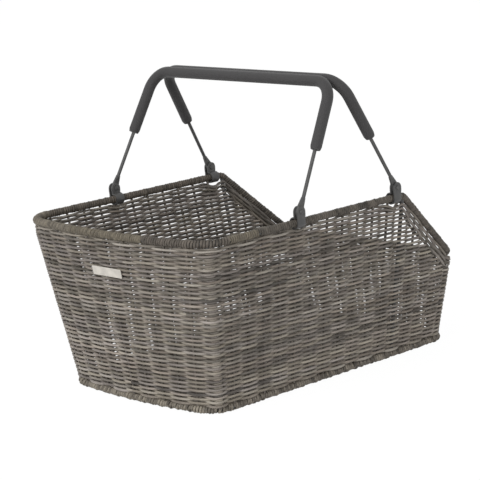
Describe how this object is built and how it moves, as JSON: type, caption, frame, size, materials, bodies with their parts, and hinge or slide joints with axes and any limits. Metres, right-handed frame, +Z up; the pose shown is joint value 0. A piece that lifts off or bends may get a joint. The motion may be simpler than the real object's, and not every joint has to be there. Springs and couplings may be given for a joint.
{
  "type": "bicycle basket",
  "caption": "Flared woven rear basket for a bicycle, with a wound rim that slopes to a low front end and folding bail handles with foam grips.",
  "frame": {"origin": "on the floor, under the middle of the woven base", "axes": "+X towards the low front end, +Y towards the basket's left side, +Z up"},
  "size_m": [0.4804, 0.3594, 0.3885],
  "materials": {
    "woven_strand": "dull grey-brown rattan strand, natural or a look-alike",
    "wound_strand": "dull olive-brown strand wound round a wire",
    "painted_steel": "dark grey satin paint",
    "foam_grip": "matte charcoal foam",
    "bare_plate": "bare light grey metal"
  },
  "bodies": {
    "basket": {"rim_wire": "painted_steel", "base_wire": "painted_steel", "upright_rear_right": "painted_steel", "upright_rear_left": "painted_steel", "upright_front_right": "painted_steel", "upright_front_left": "painted_steel", "bend_post_right": "painted_steel", "bend_post_left": "painted_steel", "cross_wire_rear": "painted_steel", "cross_wire_middle": "painted_steel", "cross_wire_front": "painted_steel", "woven_wall": "woven_strand", "woven_base": "woven_strand", "rim_wrap_rear": "wound_strand", "rim_wrap_right": "wound_strand", "rim_wrap_right_slope": "wound_strand", "rim_wrap_front": "wound_strand", "rim_wrap_left_slope": "wound_strand", "rim_wrap_left": "wound_strand", "base_border_rear": "wound_strand", "base_border_right": "wound_strand", "base_border_front": "wound_strand", "base_border_left": "wound_strand", "badge_plate": "bare_plate", "clip_rear_right": "painted_steel", "rivet_rear_right": "painted_steel", "clip_rear_left": "painted_steel", "rivet_rear_left": "painted_steel", "clip_front_right": "painted_steel", "rivet_front_right": "painted_steel", "clip_front_left": "painted_steel", "rivet_front_left": "painted_steel"},
    "rear_handle": {"rear_handle_rod": "painted_steel", "rear_handle_grip": "foam_grip"},
    "front_handle": {"front_handle_rod": "painted_steel", "front_handle_grip": "foam_grip"}
  },
  "joints": [
    {"name": "rear_handle_fold", "type": "hinge", "parent": "basket", "child": "rear_handle", "pos_m": [-0.081, 0, 0.2332], "axis": [0, -1, 0], "range_deg": [0, 117]},
    {"name": "front_handle_fold", "type": "hinge", "parent": "basket", "child": "front_handle", "pos_m": [0.094, 0, 0.2332], "axis": [0, 1, 0], "range_deg": [0, 140]}
  ]
}
